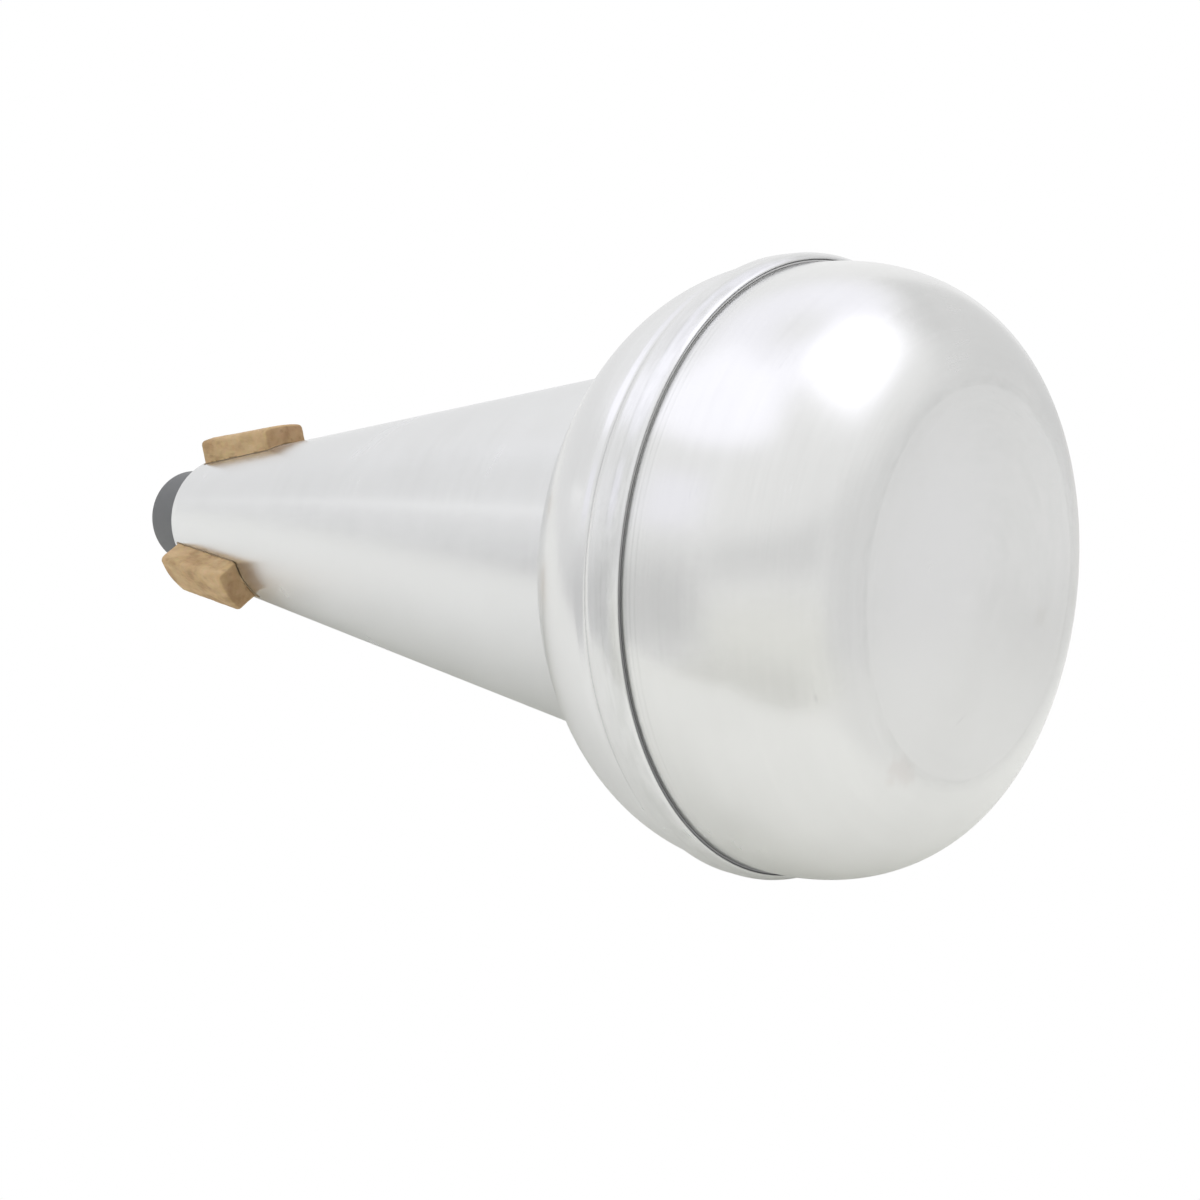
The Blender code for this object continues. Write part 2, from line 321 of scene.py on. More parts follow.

# Each darker ring on the shoulder: the height where it starts, how far it fades, and how strong it is. The
# first darkens the lip and bead towards the mouth; the second and third are painted shade, a dark line where
# the band meets the lip and one along the crease.
RING_LEAD = 0.0002
SHOULDER_DARK_RINGS = (
    (0.0322, 0.0075, 0.26),
    (BAND_BOTTOM - RING_LEAD, 0.0005, 0.14),
    (CREASE[1] - RING_LEAD, 0.0012, 0.12),
)

bead_centre_radius = BEAD_RADIUS - BEAD_CURVE
lip_angle = acos(1 - LIP_DEPTH / BEAD_CURVE)
crease_angle = acos(1 - CREASE_DEPTH / BEAD_CURVE)
bead_centre = (bead_centre_radius, MOUTH_HEIGHT + BEAD_CURVE * sin(lip_angle))
mouth_radius = BEAD_RADIUS - LIP_DEPTH - LIP_EDGE
lip_centre = (mouth_radius + LIP_EDGE, MOUTH_HEIGHT + LIP_EDGE)
lip_drop = BAND_BOTTOM - lip_centre[1]
band_curve = (LIP_DEPTH ** 2 + lip_drop ** 2 - LIP_EDGE ** 2) / (2 * (LIP_DEPTH - LIP_EDGE))
lip_turn = asin(lip_drop / (band_curve - LIP_EDGE))


def bend(before, corner, after, steps):
    """Points of a soft corner in a profile: it leaves and meets the two sides without a break."""
    shares = [step / steps for step in range(steps + 1)]
    return [tuple(
        (1 - t) ** 2 * a + 2 * t * (1 - t) * b + t * t * c for a, b, c in zip(before, corner, after)
    ) for t in shares]


def midway(first, last, share):
    """The point at that share of the way from the first to the last."""
    return tuple(a + (b - a) * share for a, b in zip(first, last))


def dome_meets_cone(radius, offset):
    """The dome's angle where its arc of that radius meets the line beside the cone."""
    tip = TIP_RADIUS * cos(CONE_ANGLE) + METAL_HEIGHT * sin(CONE_ANGLE)
    centre = DOME_CENTRE[0] * cos(CONE_ANGLE) + DOME_CENTRE[1] * sin(CONE_ANGLE)
    return CONE_ANGLE + acos((tip + offset - centre) / radius)


neck = dome_meets_cone(DOME_CURVE - NECK_EDGE, COLLAR_GAP + NECK_EDGE)
neck_centre = (
    DOME_CENTRE[0] + (DOME_CURVE - NECK_EDGE) * cos(neck),
    DOME_CENTRE[1] + (DOME_CURVE - NECK_EDGE) * sin(neck),
)
inner_neck = dome_meets_cone(DOME_CURVE - SHEET, COLLAR_GAP + SHEET)
outer_neck = dome_meets_cone(DOME_CURVE, COLLAR_GAP)
foot = asin((CREASE_TOP - DOME_CENTRE[1]) / DOME_CURVE)
dome_foot = (DOME_CENTRE[0] + DOME_CURVE * cos(foot), CREASE_TOP)
collar_bottom = DOME_CENTRE[1] + DOME_CURVE * sin(outer_neck) - COLLAR_DEPTH
shoulder_profile = arc(neck_centre, NECK_EDGE, pi + CONE_ANGLE, neck, 8)
shoulder_profile += arc(DOME_CENTRE, DOME_CURVE, neck, foot, 56)[1:]
crease_side = midway(dome_foot, CREASE, 0.55)
flank = midway(CREASE, BEAD_TOP, 0.4)
shoulder_profile += bend(dome_foot, midway(dome_foot, CREASE, 0.3), crease_side, 6)[1:]
shoulder_profile += bend(crease_side, CREASE, flank, 10)[1:]
shoulder_profile += bend(flank, BEAD_TOP, (BEAD_RADIUS, BEAD_TOP[1] - BEAD_ROUNDING), 10)[1:]
shoulder_profile += straight(shoulder_profile[-1], (BEAD_RADIUS, BAND_BOTTOM), 6)[1:]
shoulder_profile += arc((BEAD_RADIUS - band_curve, BAND_BOTTOM), band_curve, 0.0, -lip_turn, 16)[1:]
shoulder_profile += arc(lip_centre, LIP_EDGE, -lip_turn, -pi, 10)[1:]
inside = arc(bead_centre, BEAD_CURVE - SHEET, -lip_angle, crease_angle, 16)
shoulder_profile += [(max(r, mouth_radius) if z < bead_centre[1] else r, z) for r, z in inside]
shoulder_profile += arc(DOME_CENTRE, DOME_CURVE - SHEET, foot, inner_neck, 24)
shoulder_profile += [cone_point(collar_bottom, COLLAR_GAP + SHEET), cone_point(collar_bottom, COLLAR_GAP)]
shoulder = spin("shoulder_dome", shoulder_profile)
shoulder.data.materials.append(
    spun_aluminium("spun shoulder aluminium", SHOULDER_COLOUR, 0.23, 0.4, height_rings=SHOULDER_DARK_RINGS))
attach(shoulder, "root")
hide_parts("shoulder")

# Neck adhesive
# A ring of cured amber adhesive between the cone and the collar, out of sight inside the body. It was
# run in as a bead, and it holds the cone.

adhesive, tree, shader = new_finish("cured neck adhesive", 0.5)
ripple = node(tree, "TexNoise", {"Scale": 420.0, "Detail": 3.0, "Roughness": 0.6}).outputs[0]
tone = tint(tree, ripple, (0.34, 0.30, 0.21), (0.50, 0.46, 0.35))
dress(tree, shader, tone, blend(tree, ripple, 0.42, 0.62), ripple, 0.3, 0.0002)
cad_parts["neck_bond"].data.materials.clear()
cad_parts["neck_bond"].data.materials.append(adhesive)

# Bottom cup
# A spun aluminium cup with a flat disc for a bottom. Its skirt is turned straight and enters the
# shoulder's mouth, where the lathe has left coarser lines.

DISC_RADIUS = 0.0349
DISC_TURN = 0.0032
CUP_FULLNESS = 2.26
SEAM_GAP = 0.00075
SKIRT_SWELL = 0.00025
SKIRT_PLAY = 0.0003
CUP_COLOUR = (0.75, 0.752, 0.745)

# What mark() rubs in: a lighter middle of the disc, which is painted light, three smudges, a spot and three
# scratches.
CUP_MARKS_AND_PAINTED_LIGHT = (
    ((0.0060, -0.0140, 0.0), (0.85, 0.53, 0.0), 0.0760, 0.0520, 0.1, 0.75, (0.79, 0.79, 0.792)),
    ((-0.0268, -0.0262, 0.0), (0.6, -0.8, 0.0), 0.0112, 0.0078, 0.6, 0.18, (0.52, 0.43, 0.40)),
    ((-0.0107, 0.0224, 0.0), (0.2, 1.0, 0.0), 0.0080, 0.0050, 0.5, 0.14, (0.50, 0.48, 0.44)),
    ((-0.0107, 0.0370, 0.0), (1.0, 0.2, 0.0), 0.0110, 0.0060, 0.5, 0.16, (0.55, 0.54, 0.46)),
    ((-0.0095, -0.0447, 0.0033), (1.0, -0.3, 0.0), 0.0026, 0.0011, 0.3, 0.20, (0.42, 0.41, 0.42)),
    ((0.0483, -0.0278, 0.0177), (0.0045, 0.0035, -0.0030), 0.0058, 0.0003, 0.3, 0.60, (0.98, 0.98, 1.0)),
    ((0.0470, -0.0310, 0.0190), (0.0010, 0.0012, 0.0030), 0.0016, 0.0003, 0.3, 0.60, (0.98, 0.98, 1.0)),
    ((-0.0229, -0.0075, 0.0), (0.3, 1.0, 0.0), 0.0050, 0.0005, 0.4, 0.25, (0.45, 0.44, 0.46)),
)

# Darker rings again: the one on the disc is painted shade, a band just outside the disc's edge, and starts
# at a radius; the dull ones on the skirt start at a height.
DISC_PAINTED_SHADE_RING = ((DISC_RADIUS, 0.0030, 0.13),)
SKIRT_RINGS = ((0.0287, 0.0004, 0.16), (0.0298, 0.0003, 0.22), (0.0306, 0.0004, 0.25))

skirt_radius = mouth_radius - SEAM_GAP + SKIRT_SWELL
skirt_reach = BEAD_CURVE - SHEET - SKIRT_PLAY
skirt_top = bead_centre[1] + sqrt(skirt_reach ** 2 - (skirt_radius - bead_centre_radius) ** 2)


def cup_side(inset, steps):
    """The cup's side from the seam down to the disc: a slightly full ellipse, cut off at the disc."""
    start = DISC_RADIUS - DISC_TURN
    across = skirt_radius - start - inset
    power = 2 / CUP_FULLNESS
    end = acos((DISC_TURN / across) ** (1 / power))
    down = (MOUTH_HEIGHT - inset) / sin(end) ** power
    angles = [end * step / steps for step in range(steps + 1)]
    return [(start + across * cos(a) ** power, MOUTH_HEIGHT - down * sin(a) ** power) for a in angles]


cup_profile = [(0.0, SHEET)]
cup_profile += reversed(cup_side(SHEET, 24))
cup_profile += [(skirt_radius - SHEET, skirt_top), (skirt_radius, skirt_top)]
cup_profile += cup_side(0.0, 72)
cup_profile += straight((DISC_RADIUS, 0.0), (0.0, 0.0), 24)[1:]
cup = spin("cup", cup_profile, closed=False)
cup.data.materials.append(
    spun_aluminium("spun cup aluminium", CUP_COLOUR, 0.23, 0.4, CUP_MARKS_AND_PAINTED_LIGHT, SKIRT_RINGS, DISC_PAINTED_SHADE_RING))
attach(cup, "root")
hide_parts("bottom_cup")

# Seam seal
# A rubber ring squeezed between the skirt and the bead. Its lip stands in the seam, a little below the
# metal, and has gone grey there. It is painted paler towards the side that lies uppermost: painted light,
# where the seam shows less shade.

SEAL_PLAY = 0.0003
SEAL_TIP = 0.00035
SEAL_LIP_INNER = 0.00002
SEAL_LIP_OUTER = 0.00038
SEAL_LIP_DEPTH = 0.00012
SEAL_LIP_ROOT = 0.0002
PAINTED_LIGHT_REACH = (0.004, 0.042)

seal_inner = skirt_radius + SEAL_PLAY
seal_angle = acos((seal_inner + SEAL_TIP - bead_centre_radius) / skirt_reach)
seal_profile = arc(bead_centre, skirt_reach, seal_angle, -seal_angle, 16)
lip_start = MOUTH_HEIGHT + SEAL_LIP_DEPTH
lip_middle = (SEAL_LIP_OUTER + SEAL_LIP_INNER) / 2
lip_round = (SEAL_LIP_OUTER - SEAL_LIP_INNER) / 2
seal_profile += [(skirt_radius + SEAL_LIP_OUTER, seal_profile[-1][1] - SEAL_LIP_ROOT)]
seal_profile += arc((skirt_radius + lip_middle, lip_start + lip_round), lip_round, 0.0, -pi, 8)
seal_profile += [(skirt_radius + SEAL_LIP_INNER, bead_centre[1]), (seal_inner, seal_profile[0][1])]
seal = spin("seal_ring", seal_profile)
rubber, tree, shader = new_finish("grey seal rubber", 0.8)
grain = node(tree, "TexNoise", {"Scale": 900.0, "Detail": 3.0, "Roughness": 0.6}).outputs[0]
tone = tint(tree, grain, (0.24, 0.24, 0.245), (0.34, 0.34, 0.35))
upwards = node(tree, "SeparateXYZ", {0: node(tree, "TexCoord").outputs["Object"]}).outputs[0]
# Painted light: the seal turns paler towards +X, the side that lies uppermost.
seal_painted_lighter = tint(tree, ramp(tree, upwards, *PAINTED_LIGHT_REACH, soft=True), tone, (0.58, 0.58, 0.575))
dress(tree, shader, seal_painted_lighter, blend(tree, grain, 0.7, 0.95), grain, 0.4, 0.0001)
seal.data.materials.append(rubber)
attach(seal, "root")
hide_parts("seam_seal")

# Throat nozzle
# A moulded dark grey plastic tube. Its spigot is pushed up inside the cone, and its nose stands out
# beyond the metal rim.

NOSE_RADIUS = 0.0143
NOSE_REACH = 0.0198
NOZZLE_WALL = 0.0020
NOSE_EDGE = 0.0007
SPIGOT_DEPTH = 0.0140
FIT = 0.0003

nose_top = METAL_HEIGHT + NOSE_REACH
step_height = METAL_HEIGHT - FIT
bore = NOSE_RADIUS - NOZZLE_WALL
nozzle_profile = arc((NOSE_RADIUS - NOSE_EDGE, nose_top - NOSE_EDGE), NOSE_EDGE, pi / 2, 0.0, 8)
nozzle_profile += straight(nozzle_profile[-1], (NOSE_RADIUS, step_height), 12)[1:]
nozzle_profile += [cone_point(step_height, -SHEET - FIT)]
nozzle_profile += [cone_point(METAL_HEIGHT - SPIGOT_DEPTH, -SHEET - FIT)]
nozzle_profile += [(bore, METAL_HEIGHT - SPIGOT_DEPTH)]
nozzle_profile += arc((bore + NOSE_EDGE, nose_top - NOSE_EDGE), NOSE_EDGE, pi, pi / 2, 8)
nozzle = spin("nozzle", nozzle_profile)
plastic, tree, shader = new_finish("moulded dark grey plastic", 0.45)
grain = node(tree, "TexNoise", {"Scale": 1500.0, "Detail": 2.0, "Roughness": 0.6}).outputs[0]
handling = node(tree, "TexNoise", {"Scale": 90.0, "Detail": 3.0, "Roughness": 0.6}).outputs[0]
tone = tint(tree, handling, (0.100, 0.104, 0.107), (0.138, 0.142, 0.146))
dress(tree, shader, tone, blend(tree, handling, 0.42, 0.58), grain, 0.25, 0.00005)
nozzle.data.materials.append(plastic)
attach(nozzle, "root")
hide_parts("throat_nozzle")

# Corks
# Three strips of natural cork glued along the narrow end. They are cut by knife and sanded to the
# bell's taper, so their edges are soft and their faces slightly uneven.

CORK_COUNT = 3
CORK_START = 0.0022
CORK_WIDTH = 0.0130
CORK_THICKNESS = 0.00615
CORK_TAPER = 0.0008
CORK_SEAT = 0.00015
CORK_ROUNDING = 0.0012
CORK_MESH = 0.0005
DENT_DEPTH = 0.0002
DENTS_PER_METRE = 260
DENT_SHIFT = 0.1

# Each strip's length, the slant of its lower cut, and how much thicker it is at the rim and at that cut.
CORK_CUTS = (
    (0.0355, 0.0, 0.0, 0.0),
    (0.0370, -0.001, 0.0, 0.0003),
    (0.0370, 0.0030, 0.0005, 0.0009),
)


def cork_point(along, aside, out):
    """A point in a strip on the cone: metres along its side from the rim, aside and outwards."""
    ring = TIP_RADIUS + along * sin(CONE_ANGLE) + out * cos(CONE_ANGLE)
    height = METAL_HEIGHT - along * cos(CONE_ANGLE) + out * sin(CONE_ANGLE)
    return Vector((sqrt(ring ** 2 - aside ** 2), aside, height))


def turn_to_place(piece, number):
    """Turns a piece's mesh round the axis, to where its strip of cork is."""
    piece.data.transform(Matrix.Rotation(2 * pi * (number - 1) / CORK_COUNT, 4, "Z"))
    return piece


def soft_divisions(length, first_round):
    """Places across a face of the strip, close together where its edges are rounded."""
    curve = [CORK_ROUNDING * (1 - tan(radians(angle))) for angle in (45, 34, 23, 12, 0)]
    start = CORK_ROUNDING if first_round else 0.0
    middle = length - CORK_ROUNDING - start
    steps = round(middle / CORK_MESH)
    places = [start + middle * step / steps for step in range(1, steps)]
    return (curve if first_round else [0.0]) + places + [length - place for place in reversed(curve)]


def cork_strip(number, length, slant, more_at_rim, more_at_cup):
    """A block bent on to the cone, with its outer edges and corners sanded round and shallow dents.
    Its cut at the cup's end is slanted, and it may be thicker at its ends."""
    sizes = (length, CORK_WIDTH, CORK_THICKNESS)
    divisions = [soft_divisions(size, side < 2) for side, size in enumerate(sizes)]
    shape = bmesh.new()
    for side in range(3):
        first, second = [axis for axis in range(3) if axis != side]
        for level in (0.0, sizes[side]):
            grid = []
            for a in divisions[first]:
                row = []
                for b in divisions[second]:
                    place = [0.0, 0.0, 0.0]
                    place[side], place[first], place[second] = level, a, b
                    row.append(shape.verts.new(place))
                grid.append(row)
            for row, above in zip(grid, grid[1:]):
                for k in range(len(row) - 1):
                    shape.faces.new((row[k], row[k + 1], above[k + 1], above[k])).smooth = True
    bmesh.ops.remove_doubles(shape, verts=shape.verts, dist=1e-7)
    for vertex in shape.verts:
        co = vertex.co
        inner = Vector([min(max(p, CORK_ROUNDING), s - CORK_ROUNDING) for p, s in zip(co, sizes)])
        inner.z = min(co.z, CORK_THICKNESS - CORK_ROUNDING)
        outward = (co - inner).normalized()
        dent_place = (co + Vector((DENT_SHIFT * number, 0.0, 0.0))) * DENTS_PER_METRE
        dent = DENT_DEPTH * (0.5 + 0.5 * noise.fractal(dent_place, 1.0, 2.0, 3))
        place = inner + outward * (CORK_ROUNDING - max(0.0, dent))
        along = place.x / length
        place.x += slant * (place.y / CORK_WIDTH - 0.5) * along
        more = more_at_rim * (1 - along) + (more_at_cup - CORK_TAPER) * along
        scale = 1 + more / CORK_THICKNESS
        vertex.co = cork_point(
            CORK_START + place.x, place.y - CORK_WIDTH / 2, CORK_SEAT + place.z * scale)
    bmesh.ops.recalc_face_normals(shape, faces=shape.faces)
    return turn_to_place(link_piece(f"cork_piece_{number}", shape), number)


cork, tree, shader = new_finish("natural cork", 0.85)
place = node(tree, "TexCoord").outputs["Object"]
grown = node(tree, "Mapping", {"Vector": place, "Scale": (1.0, 1.0, 0.4)}).outputs[0]
grains = node(tree, "TexVoronoi", {"Vector": place, "Scale": 620.0, "Randomness": 1.0}, feature="F1")
mottle = node(tree, "TexNoise", {
    "Vector": grown, "Scale": 420.0, "Detail": 4.0, "Roughness": 0.65,
}).outputs[0]
patches = node(tree, "TexNoise", {
    "Vector": grown, "Scale": 150.0, "Detail": 2.0, "Roughness": 0.5,
}).outputs[0]
pores = node(tree, "TexVoronoi", {
    "Vector": grown, "Scale": 360.0, "Randomness": 1.0,
}, feature="F1").outputs[0]
pore = ramp(tree, pores, 0.10, 0.24, low=1.0, high=0.0)
shade = maths(tree, "ADD", maths(tree, "MULTIPLY", mottle, 0.5), maths(tree, "MULTIPLY", patches, 0.5))
tone = node(tree, "ValToRGB", {"Fac": shade})
tone.color_ramp.elements[0].position = 0.38
tone.color_ramp.elements[0].color = (0.36, 0.23, 0.108, 1.0)
tone.color_ramp.elements[1].position = 0.62
tone.color_ramp.elements[1].color = (0.57, 0.405, 0.22, 1.0)
middle = tone.color_ramp.elements.new(0.48)
middle.color = (0.475, 0.325, 0.165, 1.0)
granule = tint(tree, 0.05, tone.outputs[0], grains.outputs["Color"], blend_type="SOFT_LIGHT")
pitted = tint(tree, maths(tree, "MULTIPLY", pore, 0.3), granule, (0.22, 0.13, 0.065))
# Painted shade: the cut end that faces down, towards the cup, is painted darker brown.
facing = node(tree, "SeparateXYZ", {0: node(tree, "NewGeometry").outputs["Normal"]}).outputs[2]
shaded_end_share = ramp(tree, facing, -0.9, -0.6, low=0.45, high=0.0)
cork_with_painted_shade = tint(tree, shaded_end_share, pitted, (0.22, 0.12, 0.06))
relief = maths(tree, "SUBTRACT", mottle, maths(tree, "MULTIPLY", pore, 0.8))
dress(tree, shader, cork_with_painted_shade, blend(tree, mottle, 0.75, 0.95), relief, 0.5, 0.0003)

for number in range(1, CORK_COUNT + 1):
    strip = cork_strip(number, *CORK_CUTS[number - 1])
    strip.data.materials.append(cork)
    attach(strip, "root")
    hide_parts(f"cork_{number}")

# Cork glue
# A thin film of brown contact adhesive under each strip. It was brushed on, has crept out along the
# strip's edges, and has dried there.

GLUE_BASE = 0.00002
GLUE_FILM = 0.00012
GLUE_CREEP = 0.0002
CREEPS_PER_METRE = 500
CREEP_SHIFT = 3.0
STEPS_ALONG = 60
STEPS_ACROSS = 16


def glue_film(number, length):
    """A thin sheet on the cone with a wavy outline."""
    shape = bmesh.new()
    sheets = []
    for out in (GLUE_BASE, GLUE_FILM):
        sheet = []
        for i in range(STEPS_ALONG + 1):
            along = CORK_START - GLUE_CREEP / 2 + (length + GLUE_CREEP) * i / STEPS_ALONG
            wave_place = Vector((along * CREEPS_PER_METRE, CREEP_SHIFT * number, 0.0))
            creep = GLUE_CREEP * noise.noise(wave_place)
            half = CORK_WIDTH / 2 + GLUE_CREEP / 2 + creep
            places = [half * (2 * j / STEPS_ACROSS - 1) for j in range(STEPS_ACROSS + 1)]
            sheet.append([shape.verts.new(cork_point(along, aside, out)) for aside in places])
        sheets.append(sheet)
    under, over = sheets
    strips = [pair for sheet in sheets for pair in zip(sheet, sheet[1:])]
    strips += [(under[0], over[0]), (under[-1], over[-1])]
    strips += [([row[side] for row in under], [row[side] for row in over]) for side in (0, -1)]
    for row, above in strips:
        for j in range(len(row) - 1):
            shape.faces.new((row[j], row[j + 1], above[j + 1], above[j]))
    bmesh.ops.recalc_face_normals(shape, faces=shape.faces)
    return turn_to_place(link_piece(f"glue_film_{number}", shape), number)


glue, tree, shader = new_finish("dry contact adhesive", 0.5)
strings = node(tree, "TexNoise", {"Scale": 700.0, "Detail": 2.0, "Roughness": 0.5}).outputs[0]
tone = tint(tree, strings, (0.22, 0.155, 0.085), (0.38, 0.28, 0.16))
dress(tree, shader, tone, blend(tree, strings, 0.4, 0.7), strings, 0.3, 0.0001)

for number in range(1, CORK_COUNT + 1):
    film = glue_film(number, CORK_CUTS[number - 1][0])
    film.data.materials.append(glue)
    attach(film, "root")
    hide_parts(f"cork_glue_{number}")

# Camera
# It stands below and beside the mute and looks up at the disc of the cup, as in the photograph.

CAMERA_PLACE = Vector((0.05408737, -0.21671097, -0.12409514))
CAMERA_RIGHT = Vector((-0.08521034, 0.69511973, -0.71382614))
CAMERA_UP = Vector((0.97464236, 0.20692917, 0.08516211))
CAMERA_BACK = CAMERA_RIGHT.cross(CAMERA_UP)

lens = bpy.data.cameras.new("camera")
lens.lens = 42.0
lens.sensor_width = 36.0
lens.clip_start = 0.01
camera = bpy.data.objects.new("camera", lens)
turned_to = Matrix((CAMERA_RIGHT, CAMERA_UP, CAMERA_BACK)).transposed().to_4x4()
camera.matrix_world = Matrix.Translation(CAMERA_PLACE) @ turned_to
bpy.context.scene.collection.objects.link(camera)
bpy.context.scene.camera = camera

# Studio
# A white room with soft boxes above and grey cards around the table, as the metal mirrors them. The
# camera doesn't see them.

world = bpy.data.worlds.new("white studio")
bpy.context.scene.world = world
world.use_nodes = True
background = world.node_tree.nodes["Background"]
background.inputs["Color"].default_value = (1.0, 1.0, 1.0, 1.0)
background.inputs["Strength"].default_value = 1.0

CARD_STEPS = 24


def light_direction(across, up):
    """The direction at an angle across from the camera's side of the table, and up from it."""
    a, b = radians(across), radians(up)
    level = CAMERA_RIGHT * sin(a) * cos(b) + CAMERA_BACK * cos(a) * cos(b)
    return level + CAMERA_UP * sin(b)


def card(name, corners, distance, colour, strength, softness):
    """A soft box or grey card bent round the table at a distance, with faded edges. Its corners go round
    from the lower left, each as degrees across and up. Softness is the faded share across and up."""
    shape = bmesh.new()
    spread = shape.loops.layers.uv.new("spread")
    low_left, low_right, high_right, high_left = [Vector(corner) for corner in corners]
    grid = []
    for i in range(CARD_STEPS + 1):
        row = []
        for j in range(CARD_STEPS + 1):
            u, v = i / CARD_STEPS, j / CARD_STEPS
            low = low_left * (1 - u) + low_right * u
            high = high_left * (1 - u) + high_right * u
            place = low * (1 - v) + high * v
            row.append((shape.verts.new(light_direction(*place) * distance), (u, v)))
        grid.append(row)
    for row, beside in zip(grid, grid[1:]):
        for k in range(CARD_STEPS):
            around = (row[k], beside[k], beside[k + 1], row[k + 1])
            face = shape.faces.new([vertex for vertex, share in around])
            for loop, (vertex, share) in zip(face.loops, around):
                loop[spread].uv = share
    sheet = link_piece(name, shape)
    material = bpy.data.materials.new(name)
    material.use_nodes = True
    tree = material.node_tree
    tree.nodes.clear()
    parts = node(tree, "SeparateXYZ", {0: node(tree, "UVMap", uv_map="spread").outputs[0]})
    shares = []
    for part, faded in zip(parts.outputs, softness):
        from_middle = maths(tree, "ABSOLUTE", maths(tree, "SUBTRACT", part, 0.5))
        shares.append(ramp(tree, maths(tree, "SUBTRACT", 0.5, from_middle), 0.0, faded, soft=True))
    lit = node(tree, "Emission", {"Color": (*colour, 1.0), "Strength": strength})
    clear = node(tree, "BsdfTransparent")
    soft_edged = node(tree, "MixShader", {
        0: maths(tree, "MULTIPLY", shares[0], shares[1]), 1: clear.outputs[0], 2: lit.outputs[0],
    })
    node(tree, "OutputMaterial", {0: soft_edged.outputs[0]})
    sheet.data.materials.append(material)
    sheet.visible_camera = False


COOL = (0.987, 0.982, 1.04)
NEUTRAL = (1.0, 1.0, 1.0)
WARM = (1.0, 1.0, 0.96)
card("ceiling", [(-180, 50), (180, 50), (180, 90), (-180, 90)], 3.6, COOL, 1.17, (0.001, 0.4))
card("floor card", [(-180, -90), (180, -90), (180, -40), (-180, -40)], 3.6, WARM, 0.95, (0.001, 0.4))
card("key soft box", [(60, 17), (77, 18), (132, 86), (-38, 86)], 2.2, COOL, 1.85, (0.42, 0.42))
card("left soft box", [(-125, 36), (2, 38), (12, 74), (-125, 74)], 2.4, COOL, 1.32, (0.15, 0.14))
card("window patch", [(-92, 10), (-40, 10), (-40, 33), (-92, 33)], 2.5, COOL, 1.1, (0.3, 0.3))
card("left dark card", [(-132, -34), (-30, -38), (-34, 17), (-132, 15)], 2.4, NEUTRAL, 0.74, (0.3, 0.42))
card("camera side", [(-58, -10), (60, -10), (60, 11), (-58, 13)], 2.5, NEUTRAL, 0.81, (0.25, 0.4))
card("right dark card", [(42, -30), (120, -24), (120, 16), (42, 18)], 2.4, NEUTRAL, 0.84, (0.25, 0.3))
card("back right card", [(90, 0), (150, 0), (155, 60), (92, 60)], 2.6, NEUTRAL, 0.80, (0.12, 0.2))
card("room below", [(-75, -66), (110, -62), (110, -4), (-75, -4)], 2.45, WARM, 0.915, (0.25, 0.25))
card("rear right card", [(112, -18), (190, -18), (190, 22), (112, 22)], 2.5, NEUTRAL, 0.74, (0.3, 0.4))
card("table edge", [(-100, -60), (45, -54), (60, -28), (-100, -22)], 2.4, WARM, 0.805, (0.25, 0.3))
card("backdrop", [(-190, 0), (-100, 0), (-100, 38), (-190, 38)], 2.7, NEUTRAL, 0.92, (0.1, 0.2))
card("strip light", [(-120, 14), (-96, 14), (-96, 21), (-120, 21)], 2.3, NEUTRAL, 1.16, (0.3, 0.5))

# In the photograph the mute lies on a white table, on its bead and two of its corks. The table shows
# only as a reflection in the metal, with the mute's shadow on it.

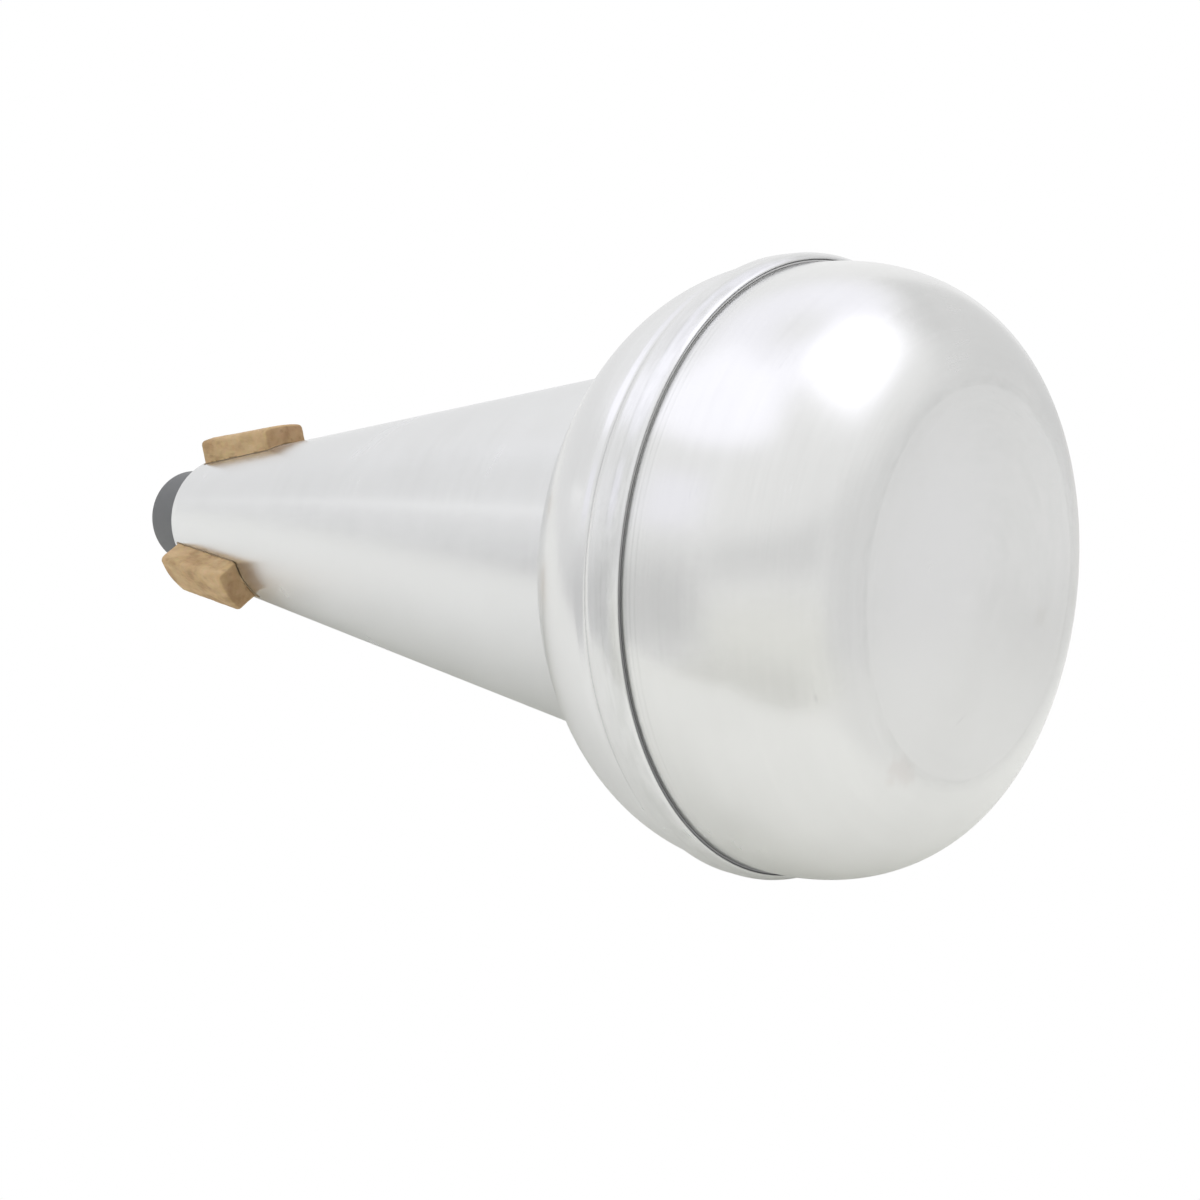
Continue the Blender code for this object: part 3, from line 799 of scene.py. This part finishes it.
TABLE_UP = Vector((0.9806, 0.0, -0.1961))
TABLE_LEVEL = -0.0662
TABLE_FRONT = Vector((-0.1336, -0.7318, -0.6682))
TABLE_CORNERS = ((0.15, -0.36), (0.145, 0.10), (-0.35, 0.60), (-1.1, 0.9), (-0.9, -0.62))
table_side = TABLE_FRONT.cross(TABLE_UP).normalized()
table_front = TABLE_UP.cross(table_side)
table_middle = TABLE_UP * TABLE_LEVEL
table_mesh = bpy.data.meshes.new("table")
points = [table_middle + table_front * front + table_side * side for front, side in TABLE_CORNERS]
table_mesh.from_pydata([point[:] for point in points], [], [(0, 1, 2, 3, 4)])
table = bpy.data.objects.new("table", table_mesh)
bpy.context.scene.collection.objects.link(table)
paper, tree, shader = new_finish("white table paper", 0.9)
# Painted shade: the paper is painted darker further from the mute, across the table's side and front, for
# light that falls off there.
lit_shares = []
for way, shaded, lit, most in ((table_side, -0.17, -0.05, 1.0), (table_front, -0.14, -0.03, 0.5)):
    reach = node(tree, "VectorMath", {
        0: node(tree, "TexCoord").outputs["Object"], 1: way,
    }, operation="DOT_PRODUCT").outputs["Value"]
    lit_shares.append(ramp(tree, reach, shaded, lit, 0.0, most, soft=True))
share = maths(tree, "MAXIMUM", lit_shares[0], lit_shares[1])
paper_painted_shade = tint(tree, share, (0.68, 0.68, 0.655), (0.865, 0.868, 0.825))
tree.links.new(paper_painted_shade, shader.inputs["Base Color"])
# Painted light: the paper glows a little, which lifts its shadows.
shader.inputs["Emission Color"].default_value = (1.0, 1.0, 0.95, 1.0)
shader.inputs["Emission Strength"].default_value = 0.05
table_mesh.materials.append(paper)
table.visible_camera = False
table.visible_diffuse = False
table.visible_transmission = False
table.visible_shadow = False

# The floor is plain and pale. It fades out away from the mute, so that its edge shows in no view, and it
# is clear from below, because the camera looks up through it.

FLOOR_HALF = 1.0
FLOOR_LEVEL = -0.0002
FLOOR_FADE = (0.22, 0.85)
floor_mesh = bpy.data.meshes.new("floor")
points = [(x * FLOOR_HALF, y * FLOOR_HALF, FLOOR_LEVEL) for x, y in ((-1, -1), (1, -1), (1, 1), (-1, 1))]
floor_mesh.from_pydata(points, [], [(0, 1, 2, 3)])
floor = bpy.data.objects.new("floor", floor_mesh)
bpy.context.scene.collection.objects.link(floor)
pale, tree, shader = new_finish("pale floor", 0.9)
shader.inputs["Base Color"].default_value = (0.9, 0.9, 0.9, 1.0)
under = node(tree, "NewGeometry").outputs["Backfacing"]
from_middle = node(tree, "VectorMath", {
    0: node(tree, "TexCoord").outputs["Object"],
}, operation="LENGTH").outputs["Value"]
clear_share = maths(tree, "MAXIMUM", under, ramp(tree, from_middle, *FLOOR_FADE, soft=True))
seen_through = node(tree, "MixShader", {
    0: clear_share, 1: shader.outputs[0], 2: node(tree, "BsdfTransparent").outputs[0],
})
tree.links.new(seen_through.outputs[0], tree.nodes["Material Output"].inputs["Surface"])
floor_mesh.materials.append(pale)
floor.visible_diffuse = False
floor.visible_glossy = False
floor.visible_transmission = False
floor.visible_shadow = False

bpy.context.scene.view_settings.view_transform = "Standard"
